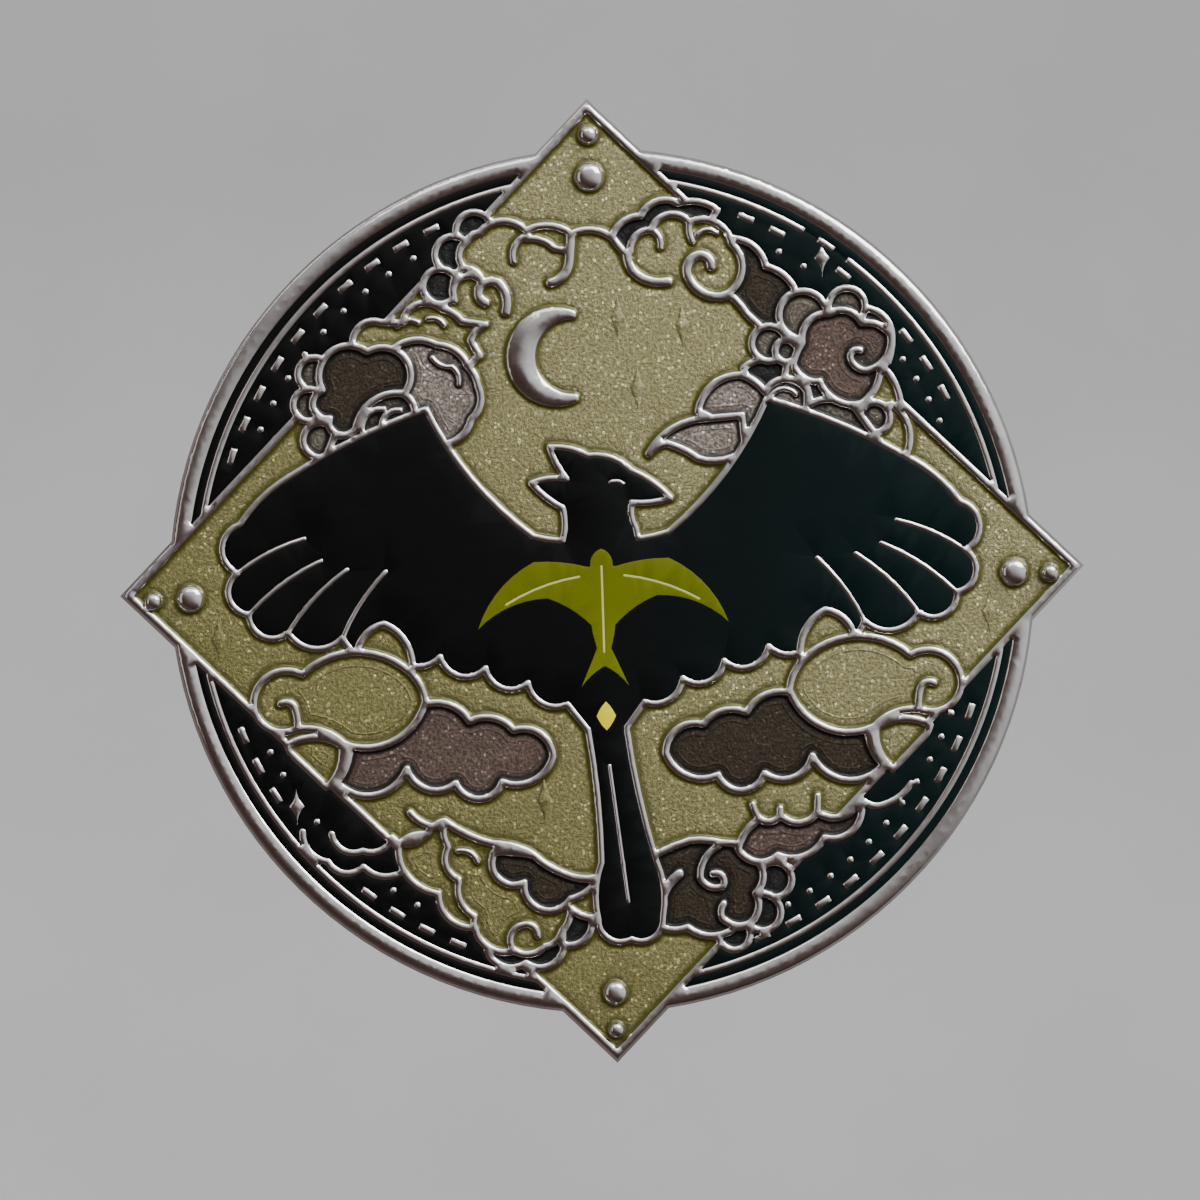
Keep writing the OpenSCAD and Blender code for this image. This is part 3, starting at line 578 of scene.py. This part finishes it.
def steel(name, tint, rough, stretch=(1, 1, 1)):
    """Plated steel with fine lines; stretch draws them out along the axis it makes smaller."""
    m = Nodes(name)
    m.set(Metallic=1.0, Anisotropic=0.2)
    lines = m.noise(0.18, detail=5, stretch=stretch)
    m.feed("Base Color", m.mix(m.spread(m.noise(2.2), 0.35, 0.65), tint, tuple(0.82 * c for c in tint)))
    m.feed("Roughness", m.spread(lines, 0.3, 0.7, rough - 0.03, rough + 0.05))
    m.feed("Normal", m.bump(lines, 0.1, 0.004))
    return m.material


# Each enamel's colour over the floor's high grains, over its low ones, and where it stands thick against a
# wall, that last one darkened further by painted shade
GOLD = (0.36, 0.335, 0.175), (0.185, 0.172, 0.07), (0.085, 0.082, 0.006)
GOLD_LOOK = {"metal": 0.6, "grain": 0.21, "coat": 0.65, "glitter": 1.0, "far_side": (0.74, 0.74, 0.54)}
SURFACES = {
    "nickel_casting": polished_metal("nickel_polished"),
    "black_enamel": flush_enamel("enamel_black_flush"),
    "black_pool_enamel": pool_enamel("enamel_black_pool", (0.012, 0.012, 0.012), (0.006, 0.006, 0.006),
                                     (0.003, 0.003, 0.003), glitter=0.25, metal=0.1),
    "gold_enamel": pool_enamel("enamel_gold", *GOLD, thick_and_painted_shade_band=(0.1, 0.42), **GOLD_LOOK),
    "brown_enamel": pool_enamel("enamel_brown", (0.046, 0.033, 0.019), (0.021, 0.015, 0.008),
                                (0.008, 0.007, 0.006), thick_and_painted_shade_band=(0.12, 0.4), glitter=0.35, ridge=0.5),
    "mauve_enamel": pool_enamel("enamel_mauve", (0.14, 0.095, 0.076), (0.06, 0.040, 0.032),
                                (0.012, 0.009, 0.008), thick_and_painted_shade_band=(0.12, 0.38), glitter=0.75, ridge=0.5,
                                coat=0.2),
    "grey_enamel": pool_enamel("enamel_grey", (0.36, 0.31, 0.27), (0.13, 0.11, 0.09), (0.02, 0.017, 0.014),
                               thick_and_painted_shade_band=(0.08, 0.3), glitter=1.0, metal=0.6, ridge=0.45, coat=0.4),
    "smoke_enamel": pool_enamel("enamel_smoke", (0.20, 0.17, 0.13), (0.08, 0.068, 0.05),
                                (0.012, 0.011, 0.009), thick_and_painted_shade_band=(0.1, 0.38), glitter=0.5, ridge=0.45),
    "print_green": printed_ink("ink_green", (0.140, 0.168, 0.002), (0.105, 0.122, 0.002)),
    "print_yellow": printed_ink("ink_yellow", (0.72, 0.64, 0.012), (0.66, 0.58, 0.01)),
    "print_pale": printed_ink("ink_pale", (0.56, 0.58, 0.19), (0.48, 0.50, 0.15)),
    "post_steel": steel("steel_post", (0.64, 0.63, 0.62), 0.24, (1, 0.2, 1)),
    "clutch_cup_steel": polished_metal("steel_cup", (0.72, 0.71, 0.69), (0.60, 0.585, 0.565), (0.14, 0.28)),
    "clutch_spring_steel": steel("steel_spring", (0.70, 0.69, 0.67), 0.22, (1, 1, 0.15)),
}
BLASTED = blasted_metal("nickel_sandblasted")
CLOUD_GOLD = pool_enamel("enamel_gold_cloud", *GOLD, thick_and_painted_shade_band=(0.1, 0.4), ridge=0.62, **GOLD_LOOK)
CLOUD_SIDES = ("left_", "right_", "nw_", "ne_", "sw_", "se_")
SLOT_OF = {row["node"]: row["material_slot"] for row in frame["record"]["subparts"]}


def finish(obj, node):
    """A piece takes its node's slot and that slot's surface."""
    obj.data.materials.clear()
    cloud = SLOT_OF[node] == "gold_enamel" and node.startswith(CLOUD_SIDES)
    obj.data.materials.append(CLOUD_GOLD if cloud else SURFACES[SLOT_OF[node]])
    SLOT_OF[node]


def front_of(node):
    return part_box(node)[0].y / MM


# ---------------------------------------------------------------- the casting
casting_points, casting_tris = welded("pin_casting")
ENAMEL_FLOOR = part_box("sky_enamel")[1].y / MM        # the plate's front face
FLUSH_FRONT = front_of("rim_ring_enamel")            # enamel that is level with the lines
ROUND_W = 0.21           # how far in from its edge a line is rounded
ROUND_H = 0.1            # how far its edge drops
ROUND_SHARE = 0.96       # under 1, so that a rounded edge never turns quite upright
CROWN_RISE = 0.3         # of broad metal above the lines
CROWN_W = 0.8            # how far from its edge that rise sets in
CREASE = 62              # degrees between faces above which the casting's shading breaks


def relief_front():
    """The y of the line work's flat tops: the frontmost level at which whole triangles lie."""
    y = casting_points[casting_tris][:, :, 1]
    flat = y[(np.ptp(y, axis=1) < LEVEL_SLACK) & (y[:, 0] < FLUSH_FRONT - LEVEL_SLACK)]
    levels, counts = np.unique(np.round(flat[:, 0], 3), return_counts=True)
    return float(levels[counts.argmax()])


RELIEF_FRONT = relief_front()


def rounded(distance, width, drop):
    """How far a surface has fallen at a distance from its edge, for a quarter-round edge."""
    left = max(0.0, 1 - distance / width)
    return drop * (1 - math.sqrt(max(0.0, 1 - ROUND_SHARE * left * left)))


def line_top(distance):
    """Lines are quarter-round at their edges; broad metal, such as the moon, rises to a crown."""
    crown = CROWN_RISE * max(0.0, 1 - math.exp(-(distance / CROWN_W) ** 2))
    return RELIEF_FRONT + rounded(distance, ROUND_W, ROUND_H) - crown


def build_relief():
    """The raised line work, rim and moon."""
    loops = loops_at(casting_points, casting_tris, RELIEF_FRONT)
    area = region(loops, depths=(0.02, 0.06, 0.13, 0.22, 0.4, 0.65), pitch=0.6, longest=0.3, shortest=0.03,
                  spacing=lambda d: 0.1 if d < 0.1 else 0.16 if d < 0.3 else 0.3)
    shell = Shell()
    shell.slab(area, line_top, line_top(0), ENAMEL_FLOOR)
    relief = shell.object("casting_relief", "badge", sharp=CREASE)
    finish(relief, "pin_casting")
    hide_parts("pin_casting")


PLATE_EDGE = 0.3         # how far in the plate's back edge is rounded
PLATE_DROP = 0.22        # how far that edge drops
BACK_FACING = 0.9        # a face whose normal points back by more than this is sandblasted


def build_plate():
    """The plate under the relief, rounded at its back edge, with the two spot faces for the posts."""
    back = loops_at(casting_points, casting_tris, 0.0)
    outer = max(back, key=lambda p: abs(loop_area(p)))
    outer = outer if loop_area(outer) > 0 else outer[::-1]
    holes = [p for p in back if abs(loop_area(p)) < abs(loop_area(outer)) - 1]
    edge = (0.04, 0.1, 0.19, 0.3, 0.36, 0.5, 0.9)

    def back_at(distance):
        return -rounded(distance, PLATE_EDGE, PLATE_DROP)

    shell = Shell()
    front = region([outer], depths=edge, longest=0.4, pitch=2.5,
                   spacing=lambda d: 0.04 if d < 0.4 else 0.5)
    shell.skin(region([outer], longest=0.4), lambda d: ENAMEL_FLOOR)
    ring = front[3][0]
    wall = tree_of(split(ring, SAMPLE))
    holes = [p[::-1] if loop_area(p) > 0 else p for p in (split(thinned(h, 0.02), 0.4) for h in holes)]
    grid = [p for p in front[0] if wall.find((*p, 0))[2] > 0.01 and not contains(holes, np.array([p]))[0]]
    points, faces = fill([ring, *holes], grid)
    away = [wall.find((*p, 0))[2] for p in points]
    away = [0.0 if d < 0.02 else d for d in away]
    shell.skin((points, faces, away, None), back_at, front=False)
    shell.walls([ring], ENAMEL_FLOOR, back_at(0))
    deep = min(p[1] for p in casting_points[casting_tris].reshape(-1, 3) if -1 < p[1] < -0.2)
    for hole in holes:
        shell.walls([hole], deep, 0.0)
        shell.skin(region([hole[::-1]], shortest=0, longest=9), lambda d: deep, front=False)
    plate = shell.object("casting_plate", "badge", sharp=CREASE)
    finish(plate, "pin_casting")
    plate.data.materials.append(BLASTED)
    for p in plate.data.polygons:
        if p.normal.y > BACK_FACING:
            p.material_index = 1
    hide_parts("pin_casting")


STUD_SPAN = 2.2          # no dome is wider than this
STUD_STEP = 0.8          # nor has a gap between its points as wide as this


def stud_places():
    """The domes stand in front of the lines: one cluster of points each, as (x, z, radius, rise)."""
    ahead = casting_points[casting_points[:, 1] < RELIEF_FRONT - 0.01]
    groups = []
    for x, y, z in ahead:
        for g in groups:
            reach = np.hypot(g[0][0] - x, g[0][2] - z)
            if reach < STUD_SPAN and min(np.hypot(q[0] - x, q[2] - z) for q in g) < STUD_STEP:
                g.append((x, y, z))
                break
        else:
            groups.append([(x, y, z)])
    places = []
    for g in map(np.array, groups):
        lo, hi = g.min(0), g.max(0)
        radius, rise = (hi[0] - lo[0]) / 2, RELIEF_FRONT - lo[1]
        places.append(((lo[0] + hi[0]) / 2, (lo[2] + hi[2]) / 2, radius, rise))
    return places


def lathe(shell, profile, centre, around=48):
    """Turns (radius, y) pairs about the Y axis through centre (x, z)."""
    rings = []
    for r, y in profile:
        ring = []
        for k in range(around):
            a = 2 * math.pi * k / around
            ring.append(shell.point(centre[0] + r * math.cos(a), y, centre[1] + r * math.sin(a)))
        rings.append(ring)
    for low, high in zip(rings, rings[1:]):
        for k in range(around):
            j = (k + 1) % around
            shell.face(low[k], high[k], high[j], low[j])


def build_studs():
    """Domes with steep flanks and a flattened crown."""
    for i, (x, z, radius, rise) in enumerate(stud_places()):
        shell = Shell()
        profile = [(0.0, ENAMEL_FLOOR), (radius, ENAMEL_FLOOR), (radius, RELIEF_FRONT + 0.08)]
        steps = 14
        for k in range(steps + 1):
            a = math.radians(90 * k / steps)
            y = RELIEF_FRONT + 0.1 - (rise + 0.02) * math.sin(a) ** 0.8
            profile.append((radius * math.cos(a) ** 0.75, y))
        lathe(shell, profile, (x, z))
        stud = shell.object(f"stud_{i + 1}", "badge", sharp=50)
        finish(stud, "pin_casting")
        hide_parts("pin_casting")


build_relief()
build_plate()
build_studs()


# ---------------------------------------------------------------- enamel
def pool_top(level):
    """Fired enamel climbs its walls a little and dips beside them."""
    def height(distance):
        climb = 0.075 * math.exp(-distance / 0.07)
        dip = 0.03 * math.exp(-(((distance - 0.35) / 0.2) ** 2))
        return level - climb + dip
    return height


def flush_top(level):
    """Stoned enamel is level but for a slight dip along the metal."""
    def height(distance):
        return level + 0.03 * math.exp(-distance / 0.08)
    return height


def build_enamel(node):
    """One colour of one region, as the puddles that the metal divides it into."""
    points, tris = welded(node)
    level = front_of(node)
    loops = loops_at(points, tris, level)
    black = SLOT_OF[node] == "black_enamel"
    if black:
        area = region(loops, depths=(0.06, 0.18), pitch=2.5, longest=0.5, spacing=lambda d: 0.3)
        top = flush_top(level)
    else:
        area = region(loops, depths=(0.05, 0.12, 0.22, 0.36, 0.55, 0.8), pitch=0.8, longest=0.35,
                      spacing=lambda d: 0.14 if d < 0.2 else 0.24)
        top = pool_top(level)
    shell = Shell()
    shell.slab(area, top, top(0), ENAMEL_FLOOR)
    piece = shell.object(node.replace("_enamel", "") + "_fill", "badge")
    finish(piece, node)
    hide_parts(node)


INK_EDGE = 0.08          # how far in the ink's edge is rounded
INK_DROP = 0.02          # how far it drops there


def build_print(node):
    """A layer of ink, softly rounded at its edge."""
    points, tris = welded(node)
    level = front_of(node)
    area = region(loops_at(points, tris, level), depths=(0.03, 0.08), longest=0.4, spacing=lambda d: 0.12)
    shell = Shell()
    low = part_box(node)[1].y / MM
    shell.slab(area, lambda d: level + rounded(d, INK_EDGE, INK_DROP), level + INK_DROP, low)
    piece = shell.object(node + "_ink", "badge")
    finish(piece, node)
    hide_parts(node)


for node_name in sorted(frame["nodes"]):
    if node_name.endswith("_enamel") or "_enamel_" in node_name:
        build_enamel(node_name)
    elif node_name.endswith("_print"):
        build_print(node_name)


SPARKLES = ((1.5, 16.3), (5.5, 15.7), (2.6, 11.9), (-23.9, -2.9), (24.0, -2.7), (-4.0, -13.5))
SPARKLE_REACH = (0.5, 1.45)
SPARKLE_HOLLOW = 2.5     # 2 gives straight sides, more draws them in
SPARKLE_RISE = 0.16
SPARKLE_POINTS = 32


def build_sparkles():
    """Faint four-pointed stars in the gold pools: the enamel swells over a cast floor."""
    half_w, half_h = SPARKLE_REACH
    for i, (x, z) in enumerate(SPARKLES):
        outline = []
        for k in range(SPARKLE_POINTS):
            a = 2 * math.pi * k / SPARKLE_POINTS
            across = math.copysign(abs(math.cos(a)) ** SPARKLE_HOLLOW, math.cos(a))
            up = math.copysign(abs(math.sin(a)) ** SPARKLE_HOLLOW, math.sin(a))
            outline.append((x + half_w * across, z + half_h * up))
        area = region([np.array(outline)], depths=(0.04, 0.09), longest=0.2, spacing=lambda d: 0.06)
        level = front_of("sky_enamel")
        shell = Shell()
        shell.slab(area, lambda d: level + 0.01 - SPARKLE_RISE * (1 - math.exp(-d / 0.1)),
                   level + 0.01, level + 0.05)
        shell.away = [1.0] * len(shell.points)
        star = shell.object(f"sky_sparkle_{i + 1}", "badge", sharp=60)
        finish(star, "sky_enamel")


build_sparkles()


# ---------------------------------------------------------------- hardware behind
# It stays on the frame's own solids, with bevelled edges
for node_name in sorted(frame["nodes"]):
    if node_name.startswith(("post_", "clutch_")):
        hardware = frame["nodes"][node_name]
        finish(hardware, node_name)
        edge = hardware.modifiers.new("edges", "BEVEL")
        edge.width, edge.segments, edge.limit_method = 0.06 * MM, 2, "ANGLE"


# ---------------------------------------------------------------- floor, backdrop and light
def make_stage():
    """A pale floor that sweeps up into a pale wall."""
    floor_z, wall_y, sweep = -95.0, 430.0, 160.0
    near_y, top_z, half_w = -900.0, 900.0, 1100.0
    profile = [(near_y, floor_z), (wall_y - sweep, floor_z)]
    for k in range(1, 17):
        a = math.radians(90 * k / 16)
        profile.append((wall_y - sweep + sweep * math.sin(a), floor_z + sweep * (1 - math.cos(a))))
    profile.append((wall_y, top_z))
    points = [(x, y, z) for y, z in profile for x in (-half_w, half_w)]
    faces = [(2 * k, 2 * k + 1, 2 * k + 3, 2 * k + 2) for k in range(len(profile) - 1)]
    mesh = bpy.data.meshes.new("backdrop")
    mesh.from_pydata([Vector(p) * MM for p in points], [], faces)
    for p in mesh.polygons:
        p.use_smooth = True
    obj = bpy.data.objects.new("backdrop", mesh)
    bpy.context.scene.collection.objects.link(obj)
    m = Nodes("backdrop_paper")
    m.set(Roughness=0.9, Specular_IOR_Level=0.1)
    m.feed("Base Color", m.mix(m.spread(m.noise(40.0), 0.3, 0.7), (0.55, 0.55, 0.555), (0.52, 0.52, 0.525)))
    mesh.materials.append(m.material)
    obj.visible_glossy = False       # polished metal mirrors the world's soft gradient instead


def softbox(name, place, size, power, colour=(1, 1, 1)):
    """An area light that faces the badge."""
    data = bpy.data.lights.new(name, "AREA")
    data.shape = "RECTANGLE"
    data.size, data.size_y = (s * MM for s in size)
    data.energy = power
    data.color = colour
    obj = bpy.data.objects.new(name, data)
    bpy.context.scene.collection.objects.link(obj)
    at = Vector(place) * MM
    obj.location = at
    obj.rotation_euler = (-at).to_track_quat("-Z", "Y").to_euler()
    obj.visible_camera = False


# The room's light as (place along a direction from 0 to 1, colour): towards the upper right, and in front
ROOM_UP = ((0.0, (0.16, 0.11, 0.10)), (0.25, (0.055, 0.035, 0.03)), (0.43, (0.11, 0.078, 0.07)),
           (0.50, (0.27, 0.245, 0.24)), (0.56, (0.55, 0.545, 0.545)), (0.75, (1.05, 1.05, 1.06)),
           (1.0, (1.3, 1.3, 1.32)))
ROOM_AHEAD = ((0.3, (0.7, 0.7, 0.7)), (0.80, (0.8, 0.8, 0.8)), (0.93, (0.95, 0.95, 0.95)),
              (1.0, (1.0, 1.0, 1.0)))
ROOM_SEEN = (0.40, 0.40, 0.403, 1)   # past the floor's edge the room is pale


def make_world():
    """Soft light from all round: bright from the upper right, dim and warm from the lower left."""
    world = bpy.data.worlds.new("world")
    world.use_nodes = True
    tree = world.node_tree
    shade = tree.nodes["Background"]
    way = tree.nodes.new("ShaderNodeTexCoord")

    def along(direction):
        dot = tree.nodes.new("ShaderNodeVectorMath")
        dot.operation = "DOT_PRODUCT"
        dot.inputs[1].default_value = Vector(direction).normalized()
        tree.links.new(way.outputs["Generated"], dot.inputs[0])
        return dot.outputs["Value"]

    def ramp(value, stops):
        node = tree.nodes.new("ShaderNodeValToRGB")
        while len(node.color_ramp.elements) < len(stops):
            node.color_ramp.elements.new(0.5)
        for element, (at, colour) in zip(node.color_ramp.elements, stops):
            element.position, element.color = at, (*colour, 1)
        shift = tree.nodes.new("ShaderNodeMapRange")
        shift.inputs["From Min"].default_value = -1
        tree.links.new(value, shift.inputs["Value"])
        tree.links.new(shift.outputs["Result"], node.inputs["Fac"])
        return node.outputs["Color"]

    height = ramp(along((0.62, 0.0, 0.78)), ROOM_UP)
    ahead = ramp(along((0.0, -1, 0.0)), ROOM_AHEAD)
    both = tree.nodes.new("ShaderNodeMix")
    both.data_type, both.blend_type = "RGBA", "MULTIPLY"
    both.inputs[0].default_value = 1.0
    tree.links.new(height, both.inputs[6])
    tree.links.new(ahead, both.inputs[7])
    seen = tree.nodes.new("ShaderNodeMix")
    seen.data_type = "RGBA"
    seen.inputs[7].default_value = ROOM_SEEN
    tree.links.new(tree.nodes.new("ShaderNodeLightPath").outputs["Is Camera Ray"], seen.inputs[0])
    tree.links.new(both.outputs[2], seen.inputs[6])
    tree.links.new(seen.outputs[2], shade.inputs["Color"])
    bpy.context.scene.world = world


def make_light():
    softbox("key", (165, -155, 195), (220, 180), 1.0)
    softbox("left", (-400, -260, 60), (240, 380), 0.18, (1.0, 0.95, 0.92))
    softbox("behind", (-260, 420, 360), (360, 300), 1.6)
    softbox("wall", (0, -500, 500), (500, 300), 0.9)
    make_world()


make_stage()
make_light()
